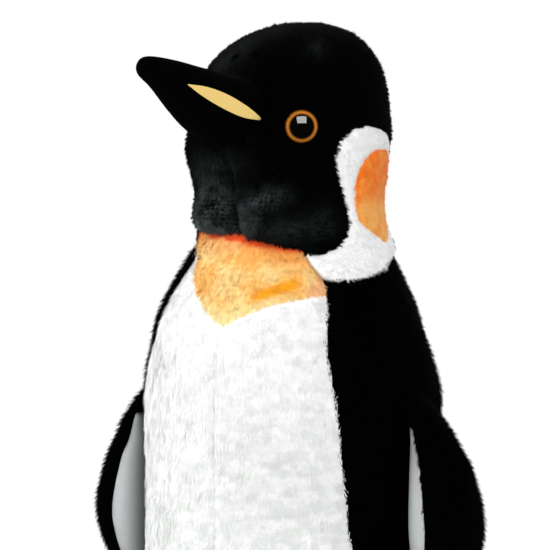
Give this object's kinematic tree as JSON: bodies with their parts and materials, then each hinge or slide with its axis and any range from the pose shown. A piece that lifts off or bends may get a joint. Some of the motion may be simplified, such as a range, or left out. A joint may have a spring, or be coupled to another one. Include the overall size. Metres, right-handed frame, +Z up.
{
  "type": "plush penguin",
  "caption": "Upright stuffed emperor penguin of long-pile plush with a turning head, liftable flippers, flat feet and a weighted base.",
  "frame": {"origin": "centre of the flat base panel's underside, on the floor", "axes": "+Z up along the body, -Y the way the penguin's body faces, +X towards the penguin's own left side"},
  "size_m": [0.3064, 0.2879, 0.61],
  "materials": {
    "black_plush": "long black pile plush",
    "beak_velour": "very short black pile",
    "white_plush": "long white pile plush",
    "orange_plush": "short pile plush shaded from orange red to pale yellow",
    "stripe_velour": "short straw yellow pile",
    "grey_lining": "smooth light grey lining cloth",
    "filling": "loose polyester fibre filling",
    "pellet_cloth": "plain woven cloth",
    "eye_plastic": "glossy amber and black",
    "washer_plastic": "natural nylon"
  },
  "bodies": {
    "torso": {"body_filling": "filling", "pellet_pouch": "pellet_cloth", "base_panel": "black_plush", "tail_upper": "black_plush", "tail_lower": "black_plush", "tail_filling": "filling", "left_bib": "orange_plush", "right_bib": "orange_plush", "left_belly": "white_plush", "right_belly": "white_plush", "left_back": "black_plush", "right_back": "black_plush", "left_foot_upper": "black_plush", "right_foot_upper": "black_plush", "left_foot_sole": "black_plush", "right_foot_sole": "black_plush", "left_foot_filling": "filling", "right_foot_filling": "filling"},
    "head": {"head_filling": "filling", "crown_gusset": "black_plush", "beak_filling": "filling", "left_head_side": "black_plush", "right_head_side": "black_plush", "left_throat": "black_plush", "right_throat": "black_plush", "left_neck_patch": "white_plush", "right_neck_patch": "white_plush", "left_ear_patch": "orange_plush", "right_ear_patch": "orange_plush", "left_eye": "eye_plastic", "right_eye": "eye_plastic", "left_eye_washer": "washer_plastic", "right_eye_washer": "washer_plastic", "left_beak_cover": "beak_velour", "right_beak_cover": "beak_velour", "left_beak_stripe": "stripe_velour", "right_beak_stripe": "stripe_velour"},
    "left_flipper": {"left_flipper_outer": "black_plush", "left_flipper_lining": "grey_lining", "left_flipper_filling": "filling"},
    "right_flipper": {"right_flipper_outer": "black_plush", "right_flipper_lining": "grey_lining", "right_flipper_filling": "filling"}
  },
  "joints": [
    {"name": "head_turn", "type": "hinge", "parent": "torso", "child": "head", "pos_m": [0, 0, 0.45], "axis": [0, 0, 1], "range_deg": [-12, 28], "stiffness_Nm_per_rad": 0.8},
    {"name": "left_flipper_lift", "type": "hinge", "parent": "torso", "child": "left_flipper", "pos_m": [0.107, -0.013, 0.345], "axis": [0, -1, 0], "range_deg": [-2, 65], "stiffness_Nm_per_rad": 0.12},
    {"name": "right_flipper_lift", "type": "hinge", "parent": "torso", "child": "right_flipper", "pos_m": [-0.107, -0.013, 0.345], "axis": [0, 1, 0], "range_deg": [-2, 65], "stiffness_Nm_per_rad": 0.12}
  ]
}
